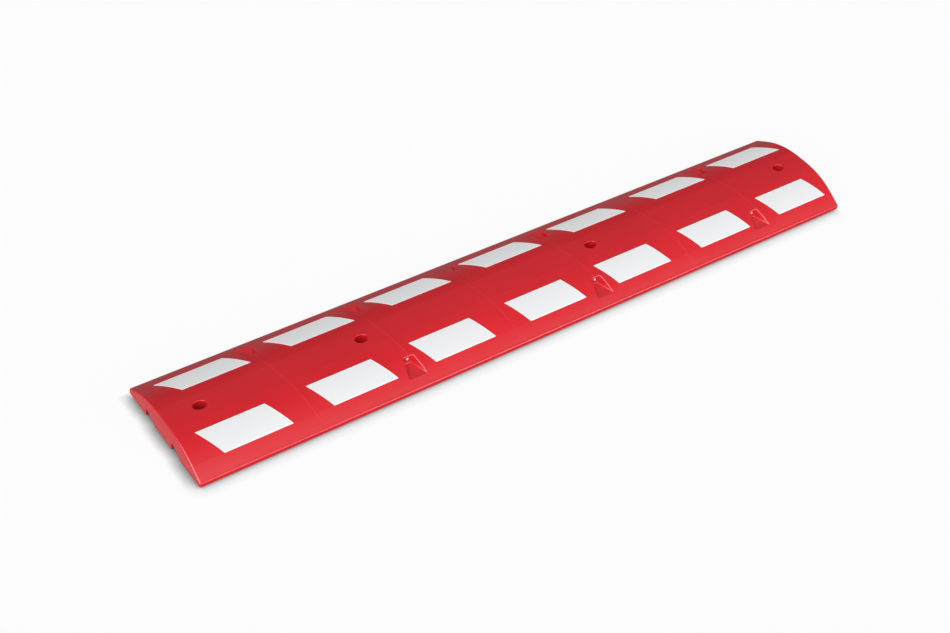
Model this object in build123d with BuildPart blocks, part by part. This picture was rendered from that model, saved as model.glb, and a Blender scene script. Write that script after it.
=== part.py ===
"""Moulded rubber speed bump, six feet long, with its reflective patches.

Millimetres, +Z up. X runs along the bump and Y across it, the way the traffic goes.
The origin is on the road surface, under the middle of the bump.
"""

import os
from math import cos, radians, sin, sqrt, tan

from build123d import *

# Overall size
length = 1829.0
width = 305.0
height = 57.0
lip_height = 10.0

# Cross-section of the dome: a nearly flat crown, two wide shoulders and two straight ramps
crown_half_angle = 3.6
shoulder_radius = 200.0
ramp_angle = 30.0
edge_radius = 3.5
corner_radius = 4.0

# Cable channels along the underside: where each one's upright wall stands, and its width at the road
channels = ((-33.0, 42.0), (76.0, 38.0))
channel_roof = 8.0
channel_height = 21.0
channel_roof_radius = 3.0
channel_mouth_radius = 2.0

# Bolt holes on the crown line, each under an oval counterbore that hides the bolt head
bolt_places = (-831.0, -437.0, 208.0, 829.0)
bolt_radius = 8.0
counterbore_length = 31.0
counterbore_width = 24.0
counterbore_depth = 30.0
hole_rim_radius = 1.0

# Seven equal bays, with a numbered station between each two and a faint mould line there
bay_count = 7
bay = length / bay_count
bay_shift = 8.0
mould_line_slant = 0.18
mould_line_width = 1.6
mould_line_depth = 0.3

# Reflector pockets in the ramps: a level floor, an upright back wall and side walls that splay
near_pocket_places = (-371.0, 157.0, 663.0)
far_pocket_places = (-660.0, -392.0, 138.0, 652.0)
pocket_back = 85.5
pocket_floor_height = 22.5
pocket_overrun = 4.0
pocket_front_width = 46.0
pocket_back_rim_width = 25.0
pocket_back_floor_width = 19.0
pocket_edge_radius = 2.2

# One far pocket is closed up but for a slot where its right-hand wall would be
slot_length = 32.0
slot_width = 5.0
slot_depth = 4.0
slot_place = (-113.5, 105.5)
slot_turn = 22.0

# Cat's-eyes: a domed bead in a shallow round recess in the back wall of each pocket
bead_radius = 3.4
bead_depth = 6.8
bead_proud = 1.2
bead_rounding = 2.6
bead_height = 35.5
recess_radius = 5.2
recess_depth = 2.0

# Reflective patches, one parallelogram in each bay on each ramp
patch_length = 161.5
patch_slant = 35.2
patch_inner = 59.0
patch_outer = 118.5
patch_thickness = 0.6

# The crown arc's radius follows from the width, the height, the shoulders and the ramps
half_width = width / 2
ramp_slope = tan(radians(ramp_angle))
ramp_sin = sin(radians(ramp_angle))
ramp_cos = cos(radians(ramp_angle))
crown_sin = sin(radians(crown_half_angle))
crown_cos = cos(radians(crown_half_angle))
run_past_shoulder = half_width - shoulder_radius * (ramp_sin - crown_sin)
rise_past_shoulder = height - lip_height - shoulder_radius * (crown_cos - ramp_cos)
crown_radius = (run_past_shoulder * ramp_slope - rise_past_shoulder) / (
    crown_sin * ramp_slope - (1 - crown_cos)
)

# Middle of the shoulder arc, in Y and Z
shoulder_y = (crown_radius - shoulder_radius) * crown_sin
shoulder_z = height - crown_radius + (crown_radius - shoulder_radius) * crown_cos

# A plane square to the bump at its left end: the sketch's X is the bump's Y, its Y is up
end_plane = Plane(origin=(-length / 2, 0, 0), x_dir=(0, 1, 0), z_dir=(1, 0, 0))


def station_x(station):
    """Place of a station along the bump. Half stations are the middles of the bays."""
    return (station - bay_count / 2) * bay + bay_shift


def dome_height(y):
    """Height of the dome's surface at y from the crown line."""
    reach = abs(y)
    if reach < crown_radius * crown_sin:
        return height - crown_radius + sqrt(crown_radius**2 - reach**2)
    if reach < shoulder_y + shoulder_radius * ramp_sin:
        return shoulder_z + sqrt(shoulder_radius**2 - (reach - shoulder_y) ** 2)
    return lip_height + (half_width - reach) * ramp_slope


def on_dome(edge):
    """True for an edge that lies in the dome's surface."""
    points = [edge.position_at(part) for part in (0.1, 0.5, 0.9)]
    return all(abs(point.Z - dome_height(point.Y)) < 0.05 for point in points)


def dome_section(lift=0.0):
    """Section of the dome down to the road, with its curved top moved outwards by lift."""
    foot = (half_width + lift * ramp_sin, lip_height + lift * ramp_cos)
    with BuildSketch() as section:
        with BuildLine():
            crown = JernArc((0, height + lift), (1, 0), crown_radius + lift, -crown_half_angle)
            shoulder = JernArc(
                crown @ 1, crown % 1, shoulder_radius + lift, crown_half_angle - ramp_angle
            )
            Polyline(shoulder @ 1, foot, (foot[0], 0), (0, 0))
            mirror(about=Plane.YZ)
        make_face()
    return section.sketch


# Pocket walls are planes: their half width grows with height (flare) and towards the road (splay)
pocket_front = half_width - (pocket_floor_height - lip_height) / ramp_slope
pocket_flare = (pocket_back_rim_width - pocket_back_floor_width) / (
    2 * (dome_height(pocket_back) - pocket_floor_height)
)
pocket_splay = (pocket_front_width - pocket_back_floor_width) / (2 * (pocket_front - pocket_back))


def pocket_plan(z):
    """Plan of a near pocket's space at height z, centred on X = 0."""
    reach = pocket_front + pocket_overrun
    back = pocket_back_floor_width / 2 + pocket_flare * (z - pocket_floor_height)
    front = back + pocket_splay * (reach - pocket_back)
    with BuildSketch(Plane.XY.offset(z)) as plan:
        Polygon(
            (-back, -pocket_back), (-front, -reach), (front, -reach), (back, -pocket_back), align=None
        )
    return plan.sketch


os.makedirs("parts", exist_ok=True)

dome = dome_section()
inside_dome = dome_section(-mould_line_depth)
outside_dome = dome_section(patch_thickness)

# The near back wall at the cat's-eye, centred on X = 0 and facing the traffic
back_wall = Plane(origin=(0, -pocket_back, bead_height), x_dir=(1, 0, 0), z_dir=(0, -1, 0))
bead_seat = back_wall.offset(-bead_depth)

# Space taken by one near pocket and its cat's-eye's socket, centred on X = 0
with BuildPart() as pocket_space:
    add(pocket_plan(pocket_floor_height))
    add(pocket_plan(height + pocket_overrun))
    loft(ruled=True)
    inner_edges = pocket_space.edges().filter_by(
        lambda edge: edge.bounding_box().max.Y > -pocket_front
        and edge.bounding_box().min.Z < height
    )
    fillet(inner_edges, radius=pocket_edge_radius)
    with BuildSketch(back_wall.offset(-recess_depth)):
        Circle(recess_radius)
    extrude(amount=recess_depth + bead_proud)
    with BuildSketch(bead_seat):
        Circle(bead_radius)
    extrude(amount=bead_depth + bead_proud)

# One near cat's-eye, centred on X = 0
with BuildPart() as bead:
    with BuildSketch(bead_seat):
        Circle(bead_radius)
    extrude(amount=bead_depth + bead_proud)
    fillet(bead.edges().sort_by(Axis.Y)[0], radius=bead_rounding)

near_pockets = [Location((place, 0, 0)) for place in near_pocket_places]
far_pockets = [Location((place, 0, 0), (0, 0, 180)) for place in far_pocket_places]

# Space above one mould line: a thin slanted strip across the dome, centred on X = 0
line_lean = mould_line_slant * half_width
line_reach = line_lean + mould_line_width
with BuildPart() as mould_line_space:
    with BuildSketch(end_plane.offset(length / 2 - line_reach)):
        add(outside_dome)
        add(inside_dome, mode=Mode.SUBTRACT)
    extrude(amount=2 * line_reach)
    with BuildSketch():
        Polygon(
            (line_lean - mould_line_width / 2, -half_width),
            (line_lean + mould_line_width / 2, -half_width),
            (-line_lean + mould_line_width / 2, half_width),
            (-line_lean - mould_line_width / 2, half_width),
            align=None,
        )
    extrude(amount=height + patch_thickness, mode=Mode.INTERSECT)

with BuildPart() as bump_body:
    with BuildSketch(end_plane):
        add(dome)
    extrude(amount=length)
    fillet(bump_body.edges().filter_by(Axis.Z), radius=corner_radius)
    rim = bump_body.edges().filter_by(
        lambda edge: edge.bounding_box().min.Z > lip_height - edge_radius
        and (
            abs(edge.center().X) > length / 2 - corner_radius
            or abs(edge.center().Y) > half_width - corner_radius
        )
    )
    fillet(rim, radius=edge_radius)

    # Cable channels, each with an upright wall on its far side and a sloping one on its near side
    with BuildSketch(end_plane) as channel_section:
        for wall, mouth in channels:
            Polygon(
                (wall, 0),
                (wall, channel_height),
                (wall - channel_roof, channel_height),
                (wall - mouth, 0),
                align=None,
            )
        fillet(channel_section.vertices().group_by(Axis.Y)[-1], radius=channel_roof_radius)
    extrude(amount=length, mode=Mode.SUBTRACT)
    mouths = bump_body.edges().filter_by(Axis.X).filter_by(
        lambda edge: edge.center().Z < channel_mouth_radius
        and abs(edge.center().Y) < half_width - corner_radius
    )
    fillet(mouths, radius=channel_mouth_radius)

    # Bolt holes
    with BuildSketch(Plane.XY.offset(height - counterbore_depth)):
        with Locations(*[(place, 0) for place in bolt_places]):
            Ellipse(counterbore_length / 2, counterbore_width / 2)
    extrude(amount=height, mode=Mode.SUBTRACT)
    fillet(bump_body.edges(Select.LAST).filter_by(on_dome), radius=hole_rim_radius)
    with Locations(*[(place, 0, height) for place in bolt_places]):
        Hole(bolt_radius)

    # Slot of the closed-up pocket
    slot_floor = Plane(
        origin=(*slot_place, dome_height(slot_place[1]) - slot_depth),
        x_dir=(0, 1, -ramp_slope),
        z_dir=(0, ramp_slope, 1),
    )
    with BuildSketch(slot_floor):
        SlotOverall(slot_length, slot_width, rotation=-slot_turn)
    extrude(amount=2 * slot_depth, mode=Mode.SUBTRACT)

    # Reflector pockets
    with Locations(*near_pockets, *far_pockets):
        add(pocket_space.part, mode=Mode.SUBTRACT)
    pocket_rims = bump_body.edges(Select.LAST).filter_by(
        lambda edge: on_dome(edge) and edge.length < pocket_front_width
    )
    fillet(pocket_rims, radius=pocket_edge_radius)

    # Faint mould lines between the bays
    with Locations(*[(station_x(station), 0, 0) for station in range(1, bay_count)]):
        add(mould_line_space.part, mode=Mode.SUBTRACT)
bump_body.part.label = "bump_body"
export_step(bump_body.part, "parts/bump_body.step")

# Reflective patches: thin films on the dome, the far ones the near ones turned half a turn
for ramp, turn in (("near", 0), ("far", 180)):
    for number in range(1, bay_count + 1):
        bay_middle = station_x(number - 0.5) * cos(radians(turn))
        with BuildPart() as patch:
            with BuildSketch(end_plane):
                add(outside_dome)
                add(dome, mode=Mode.SUBTRACT)
            extrude(amount=length)
            with BuildSketch():
                Polygon(
                    (bay_middle - patch_length / 2 - patch_slant / 2, -patch_inner),
                    (bay_middle - patch_length / 2 + patch_slant / 2, -patch_outer),
                    (bay_middle + patch_length / 2 + patch_slant / 2, -patch_outer),
                    (bay_middle + patch_length / 2 - patch_slant / 2, -patch_inner),
                    align=None,
                    rotation=turn,
                )
            extrude(amount=height + patch_thickness, mode=Mode.INTERSECT)
        patch.part.label = f"reflective_patch_{ramp}_{number}"
        export_step(patch.part, f"parts/{patch.part.label}.step")

# Cat's-eyes, one in each pocket
for ramp, pockets in (("near", near_pockets), ("far", far_pockets)):
    for number, pocket in enumerate(pockets, 1):
        with BuildPart() as cats_eye:
            with Locations(pocket):
                add(bead.part)
        cats_eye.part.label = f"cats_eye_{ramp}_{number}"
        export_step(cats_eye.part, f"parts/{cats_eye.part.label}.step")
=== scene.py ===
"""Looks, light and camera for the rubber speed bump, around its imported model. Metres, +Z up."""

from math import cos, radians, sin

import bpy
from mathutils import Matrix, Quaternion, Vector


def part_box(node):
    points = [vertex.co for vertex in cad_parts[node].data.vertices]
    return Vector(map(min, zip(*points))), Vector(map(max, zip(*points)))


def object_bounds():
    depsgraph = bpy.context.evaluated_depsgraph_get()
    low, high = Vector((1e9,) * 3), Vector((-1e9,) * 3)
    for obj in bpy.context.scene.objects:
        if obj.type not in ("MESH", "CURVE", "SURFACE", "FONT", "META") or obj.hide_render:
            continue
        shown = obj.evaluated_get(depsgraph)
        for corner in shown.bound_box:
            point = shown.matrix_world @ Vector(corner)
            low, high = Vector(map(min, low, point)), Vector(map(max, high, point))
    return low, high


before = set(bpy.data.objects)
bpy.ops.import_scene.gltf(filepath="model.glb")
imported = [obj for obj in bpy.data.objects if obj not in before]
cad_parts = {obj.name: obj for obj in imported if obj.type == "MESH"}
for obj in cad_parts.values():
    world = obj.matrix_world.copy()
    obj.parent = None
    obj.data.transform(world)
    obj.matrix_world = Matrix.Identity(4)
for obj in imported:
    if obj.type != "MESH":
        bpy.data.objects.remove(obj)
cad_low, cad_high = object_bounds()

# Camera: where it looks, from which direction and how far away, as in the reference view
VIEW_TARGET = (-0.1373, -0.0201, 0.0)
VIEW_AZIMUTH = 41.713
VIEW_ELEVATION = 43.133
VIEW_DISTANCE = 3.6525
VIEW_ROLL = 8.605
LENS_MM = 60.75
SENSOR_MM = 36.0

# Linear colours
RUBBER_RED = (0.61, 0.009, 0.018)
RUBBER_DEEP = (0.58, 0.007, 0.015)
# Paler red for the painted sheen and the painted mould-line highlights
RUBBER_PAINTED_LIGHT = (0.61, 0.042, 0.052)
FILM_WHITE = (0.412, 0.415, 0.419)
FILM_GREY = (0.385, 0.388, 0.391)
FILM_EDGE = (0.460, 0.465, 0.470)
BEAD_WHITE = (0.86, 0.87, 0.87)

# Reflective film: diagonal ridges per metre, its painted glow, and its lighter border. The slant is the share
# of a patch's box that its slanted end takes up
LATTICE_SCALE = 70.0
FILM_PAINTED_GLOW = 0.90
FILM_BORDER = 0.0018
FILM_SLANT = 0.179

# Painted sheen: a paler red low on the rubber's slopes, from just above the lip up to the top height below,
# and a painted highlight along the edge of each mould line
PAINTED_SHEEN_TOP = 0.031
PAINTED_SHEEN_FULL = 0.014
PAINTED_SHEEN_EDGE = 0.0095
PAINTED_SHEEN_AMOUNT = 0.6
MOULD_LINE_LEAN = 0.18
MOULD_LINE_HALF = 0.0009
MOULD_LINE_HIGHLIGHT = 0.55
MOULD_LINE_BOTTOM = 0.004
MOULD_LINE_CLEAR = 0.008

# Lights: where each comes from, how wide it looks in degrees, and how strong it is
SKY = ((-0.52, -0.56, 0.64), 90.0, 2.75)
KEY = ((-0.61, -0.43, 0.68), 26.0, 0.70)
SIDE = ((-0.80, 0.00, 0.48), 40.0, 0.60)
FILL = ((0.49, -0.84, 0.20), 30.0, 1.10)

# Brightness of the room by height: level, a little up, higher and straight up
ROOM_BY_HEIGHT = ((0.0, 0.02), (0.15, 0.03), (0.40, 0.06), (0.70, 0.22), (1.0, 0.08))

# Brightness of the pale wall behind the bump, full to this height above or below level and gone at the next
BACKDROP = 0.18
BACKDROP_FULL = 0.15
BACKDROP_GONE = 0.40

# Brightness of the table in reflections: on the left, where it is lit, and on the right
TABLE_LEFT = 0.28
TABLE_RIGHT = 0.04
TABLE_FROM = -0.15
TABLE_TO = -0.45

# The floor: half its side, and how far it lies under the bump. It glows, as a light table does, and darkens
# close to the near side and left end
FLOOR_HALF = 30.0
FLOOR_GAP = 0.0002
FLOOR_GLOW = 0.89
FLOOR_WHITE = 0.085
CONTACT_REACH = 0.032
CONTACT_POWER = 1.9

scene = bpy.context.scene


def place(node, **inputs):
    """Sets a node's input sockets by name."""
    for name, value in inputs.items():
        node.inputs[name.replace("_", " ")].default_value = value
    return node


class Tree:
    """A node tree, with short ways to add nodes and link them."""

    def __init__(self, tree):
        self.nodes = tree.nodes
        self.links = tree.links

    def add(self, kind, **settings):
        node = self.nodes.new(kind)
        for name, value in settings.items():
            setattr(node, name, value)
        return node

    def link(self, source, target):
        self.links.new(source, target)

    def coordinates(self):
        return self.add("ShaderNodeTexCoord").outputs["Object"]

    def noise(self, at, scale, detail=2.0, roughness=0.5):
        node = self.add("ShaderNodeTexNoise")
        place(node, Scale=scale, Detail=detail, Roughness=roughness)
        self.link(at, node.inputs["Vector"])
        return node.outputs["Fac"]

    def ramp(self, factor, low, high, out_low=0.0, out_high=1.0):
        node = self.add("ShaderNodeMapRange")
        place(node, From_Min=low, From_Max=high, To_Min=out_low, To_Max=out_high)
        self.link(factor, node.inputs["Value"])
        return node.outputs["Result"]

    def mix(self, factor, first, second):
        node = self.add("ShaderNodeMix", data_type="RGBA")
        self.link(factor, node.inputs["Factor"])
        for socket, value in ((node.inputs[6], first), (node.inputs[7], second)):
            if isinstance(value, tuple):
                socket.default_value = (*value, 1.0)
            else:
                self.link(value, socket)
        return node.outputs[2]

    def bands(self, at, turn, scale):
        """Straight ridges, turned about Z by turn degrees."""
        mapping = self.add("ShaderNodeMapping")
        mapping.inputs["Rotation"].default_value = (0.0, 0.0, radians(turn))
        self.link(at, mapping.inputs["Vector"])
        node = self.add("ShaderNodeTexWave")
        place(node, Scale=scale)
        self.link(mapping.outputs["Vector"], node.inputs["Vector"])
        return node.outputs["Fac"]

    def math(self, operation, *values):
        node = self.add("ShaderNodeMath", operation=operation)
        for socket, value in zip(node.inputs, values):
            if isinstance(value, float):
                socket.default_value = value
            else:
                self.link(value, socket)
        return node.outputs["Value"]

    def bump(self, height, distance, strength=1.0, normal=None):
        node = self.add("ShaderNodeBump")
        place(node, Strength=strength, Distance=distance)
        self.link(height, node.inputs["Height"])
        if normal is not None:
            self.link(normal, node.inputs["Normal"])
        return node.outputs["Normal"]


class Graph(Tree):
    """A new material and its node tree."""

    def __init__(self, name):
        self.material = bpy.data.materials.new(name)
        self.material.use_nodes = True
        super().__init__(self.material.node_tree)
        self.shader = self.nodes["Principled BSDF"]


def rubber():
    """Moulded red rubber: even colour, a dull satin gloss and a fine grain, with a painted sheen low on the
    slopes and painted highlights along the mould lines.
    """
    graph = Graph("moulded_red_rubber")
    at = graph.coordinates()
    cloud = graph.ramp(graph.noise(at, 5.0, 3.0), 0.35, 0.65)
    grain = graph.noise(at, 900.0, 3.0, 0.6)
    waves = graph.noise(at, 22.0, 2.0)
    split = graph.add("ShaderNodeSeparateXYZ")
    graph.link(at, split.inputs["Vector"])
    low_down = graph.ramp(split.outputs["Z"], PAINTED_SHEEN_FULL, PAINTED_SHEEN_TOP, PAINTED_SHEEN_AMOUNT, 0.0)
    above_lip = graph.ramp(split.outputs["Z"], PAINTED_SHEEN_EDGE, PAINTED_SHEEN_FULL)
    patchy = graph.math("MULTIPLY", above_lip, graph.ramp(waves, 0.3, 0.7, 0.7, 1.0))
    # Painted sheen: paler red low on the slopes, in patches
    painted_sheen = graph.math("MULTIPLY", low_down, patchy)
    # Painted light: the stronger of the painted sheen and the painted mould-line highlight
    painted_light = graph.math("MAXIMUM", painted_sheen, mould_line_highlights(graph, split))
    red = graph.mix(cloud, RUBBER_RED, RUBBER_DEEP)
    graph.link(graph.mix(painted_light, red, RUBBER_PAINTED_LIGHT), graph.shader.inputs["Base Color"])
    graph.link(graph.ramp(grain, 0.2, 0.8, 0.26, 0.36), graph.shader.inputs["Roughness"])
    place(graph.shader, Specular_IOR_Level=0.9, Coat_Weight=0.25, Coat_Roughness=0.2)
    normal = graph.bump(waves, 0.0008, 0.25)
    normal = graph.bump(grain, 0.00015, 0.5, normal)
    graph.link(normal, graph.shader.inputs["Normal"])
    return graph.material


def mould_line_highlights(graph, split):
    """Painted highlight on the slanted mould lines between the bays: 1 on them and 0 elsewhere."""
    (first, second) = (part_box(f"reflective_patch_near_{number}") for number in (1, 2))
    bay = second[0].x - first[0].x
    first_line = (first[0].x + second[1].x) / 2
    last_line = bay_count() - 2.0
    unslanted = graph.math("MULTIPLY_ADD", split.outputs["Y"], MOULD_LINE_LEAN, split.outputs["X"])
    place_in_bays = graph.math("DIVIDE", graph.math("SUBTRACT", unslanted, first_line), bay)
    from_first = graph.math("MAXIMUM", place_in_bays, 0.0)
    nearest = graph.math("ROUND", graph.math("MINIMUM", from_first, last_line))
    apart = graph.math("ABSOLUTE", graph.math("SUBTRACT", place_in_bays, nearest))
    # Painted highlight, strongest on the line and fading out to each side
    inside = graph.ramp(
        apart, 0.8 * MOULD_LINE_HALF / bay, 1.2 * MOULD_LINE_HALF / bay, MOULD_LINE_HIGHLIGHT, 0.0
    )
    off_the_road = graph.ramp(split.outputs["Z"], MOULD_LINE_BOTTOM, MOULD_LINE_CLEAR)
    return graph.math("MULTIPLY", inside, off_the_road)


def bay_count():
    """Number of bays, one near patch in each."""
    return float(len([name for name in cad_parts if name.startswith("reflective_patch_near_")]))


def film():
    """White reflective film: a fine lattice of cells inside a lighter border, glowing with painted light."""
    graph = Graph("white_reflective_film")
    at = graph.coordinates()
    lattice = graph.math(
        "MAXIMUM", graph.bands(at, 45.0, LATTICE_SCALE), graph.bands(at, -45.0, LATTICE_SCALE)
    )
    beads = graph.noise(at, 420.0, 2.0, 0.6)
    cloud = graph.noise(at, 14.0, 2.0)
    cells = graph.mix(graph.ramp(lattice, 0.5, 1.0), FILM_WHITE, FILM_GREY)
    shade = graph.mix(graph.ramp(beads, 0.2, 0.8, 0.0, 0.5), cells, FILM_GREY)
    shade = graph.mix(film_border(graph), shade, FILM_EDGE)
    graph.link(shade, graph.shader.inputs["Base Color"])
    graph.link(graph.ramp(cloud, 0.3, 0.7, 0.32, 0.42), graph.shader.inputs["Roughness"])
    # Painted glow: the film sends out light in its own colour though it is no lamp
    place(graph.shader, Specular_IOR_Level=0.5, Emission_Strength=FILM_PAINTED_GLOW)
    graph.link(shade, graph.shader.inputs["Emission Color"])
    normal = graph.bump(lattice, 0.00008, 0.3)
    graph.link(graph.bump(beads, 0.0001, 0.3, normal), graph.shader.inputs["Normal"])
    return graph.material


def film_border(graph):
    """1 on a patch's border and 0 inside it, from the place within the patch's box."""
    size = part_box("reflective_patch_near_1")
    length, width = size[1].x - size[0].x, size[1].y - size[0].y
    box = graph.add("ShaderNodeTexCoord").outputs["Generated"]
    split = graph.add("ShaderNodeSeparateXYZ")
    graph.link(box, split.inputs["Vector"])
    along, across = split.outputs["X"], split.outputs["Y"]
    lean = graph.math("MULTIPLY_ADD", across, FILM_SLANT, -FILM_SLANT)
    start = graph.math("ADD", along, lean)
    end = graph.math("SUBTRACT", 1.0 - FILM_SLANT, start)
    side = graph.math("SUBTRACT", 1.0, across)
    ends = graph.math("MULTIPLY", graph.math("MINIMUM", start, end), length)
    sides = graph.math("MULTIPLY", graph.math("MINIMUM", across, side), width)
    inset = graph.math("MINIMUM", ends, sides)
    return graph.ramp(inset, 0.8 * FILM_BORDER, 1.2 * FILM_BORDER, 1.0, 0.0)


def bead():
    """Milky glass bead: glossy and white."""
    graph = Graph("milky_glass_bead")
    at = graph.coordinates()
    cloud = graph.noise(at, 400.0, 2.0)
    graph.link(graph.ramp(cloud, 0.3, 0.7, 0.08, 0.16), graph.shader.inputs["Roughness"])
    graph.link(graph.mix(cloud, BEAD_WHITE, FILM_WHITE), graph.shader.inputs["Base Color"])
    place(graph.shader, Specular_IOR_Level=0.5, Coat_Weight=0.6, Coat_Roughness=0.05)
    return graph.material


def pale_floor():
    """Matt white floor that glows evenly, with a soft contact shadow beside the bump."""
    graph = Graph("pale_floor")
    at = graph.coordinates()
    near = graph.add("ShaderNodeAmbientOcclusion", samples=8)
    place(near, Distance=CONTACT_REACH)
    split = graph.add("ShaderNodeSeparateXYZ")
    graph.link(at, split.inputs["Vector"])
    beyond = graph.ramp(split.outputs["Y"], cad_high.y * 0.8, cad_high.y)
    past = graph.ramp(split.outputs["X"], cad_high.x * 0.97, cad_high.x)
    open_side = graph.math("MAXIMUM", beyond, past)
    shade = graph.math("MAXIMUM", graph.math("POWER", near.outputs["AO"], CONTACT_POWER), open_side)
    graph.link(graph.math("MULTIPLY", shade, FLOOR_GLOW), graph.shader.inputs["Emission Strength"])
    graph.link(graph.mix(shade, (0.0, 0.0, 0.0), (FLOOR_WHITE,) * 3), graph.shader.inputs["Base Color"])
    place(graph.shader, Roughness=0.9, Specular_IOR_Level=0.0, Emission_Color=(1.0, 1.0, 1.0, 1.0))
    return graph.material


def studio_room():
    """A dim room round the bump, with a table that shows only in reflections."""
    world = bpy.data.worlds.new("studio")
    world.use_nodes = True
    graph = Tree(world.node_tree)
    split = graph.add("ShaderNodeSeparateXYZ")
    graph.link(graph.add("ShaderNodeTexCoord").outputs["Generated"], split.inputs["Vector"])
    room = graph.add("ShaderNodeValToRGB")
    stops = room.color_ramp.elements
    while len(stops) < len(ROOM_BY_HEIGHT):
        stops.new(0.5)
    for stop, (height, strength) in zip(stops, ROOM_BY_HEIGHT):
        stop.position = height
        stop.color = (strength, strength, strength, 1.0)
    graph.link(split.outputs["Z"], room.inputs["Fac"])
    side = graph.ramp(split.outputs["X"], -0.3, 0.3, TABLE_LEFT, TABLE_RIGHT)
    table = graph.math("MULTIPLY", side, graph.ramp(split.outputs["Z"], TABLE_TO, TABLE_FROM, 1.0, 0.0))
    level = graph.ramp(
        graph.math("ABSOLUTE", split.outputs["Z"]), BACKDROP_FULL, BACKDROP_GONE, BACKDROP, 0.0
    )
    behind = graph.math("MULTIPLY", level, graph.ramp(split.outputs["Y"], 0.30, 0.80))
    light = graph.math("ADD", graph.math("ADD", room.outputs["Color"], table), behind)
    graph.link(light, graph.nodes["Background"].inputs["Strength"])
    place(graph.nodes["Background"], Color=(1.0, 1.0, 1.0, 1.0))
    return world


def direction(azimuth, elevation):
    """Unit vector of a look along azimuth, downwards by elevation, both in degrees."""
    turn, tilt = radians(azimuth), radians(elevation)
    return Vector((sin(turn) * cos(tilt), cos(turn) * cos(tilt), -sin(tilt)))


def far_light(name, source, angle, strength):
    """A broad, even light that comes from the direction of source and looks angle degrees wide."""
    data = bpy.data.lights.new(name, "SUN")
    data.energy = strength
    data.angle = radians(angle)
    lamp = bpy.data.objects.new(name, data)
    lamp.rotation_mode = "QUATERNION"
    lamp.rotation_quaternion = (-Vector(source)).to_track_quat("-Z", "Y")
    scene.collection.objects.link(lamp)


def dress(node, material):
    """Puts one material on all of a CAD node."""
    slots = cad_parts[node].material_slots
    for slot in slots:
        slot.material = material


looks = {"bump": rubber(), "reflective": film(), "cats": bead()}
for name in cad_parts:
    dress(name, looks[name.split("_")[0]])

# Floor
floor_mesh = bpy.data.meshes.new("floor")
corners = ((-1, -1), (1, -1), (1, 1), (-1, 1))
floor_level = cad_low.z - FLOOR_GAP
floor_mesh.from_pydata(
    [(x * FLOOR_HALF, y * FLOOR_HALF, floor_level) for x, y in corners], [], [(0, 1, 2, 3)]
)
floor = bpy.data.objects.new("floor", floor_mesh)
floor.data.materials.append(pale_floor())
floor.visible_glossy = False
scene.collection.objects.link(floor)

# Light
scene.world = studio_room()
far_light("sky", *SKY)
far_light("key", *KEY)
far_light("side", *SIDE)
far_light("fill", *FILL)

# Camera
camera_data = bpy.data.cameras.new("camera")
camera_data.lens = LENS_MM
camera_data.sensor_width = SENSOR_MM
camera = bpy.data.objects.new("camera", camera_data)
look = direction(VIEW_AZIMUTH, VIEW_ELEVATION)
camera.location = Vector(VIEW_TARGET) - look * VIEW_DISTANCE
camera.rotation_mode = "QUATERNION"
camera.rotation_quaternion = look.to_track_quat("-Z", "Y") @ Quaternion((0, 0, 1), radians(VIEW_ROLL))
scene.collection.objects.link(camera)
scene.camera = camera
scene.view_settings.view_transform = "Standard"
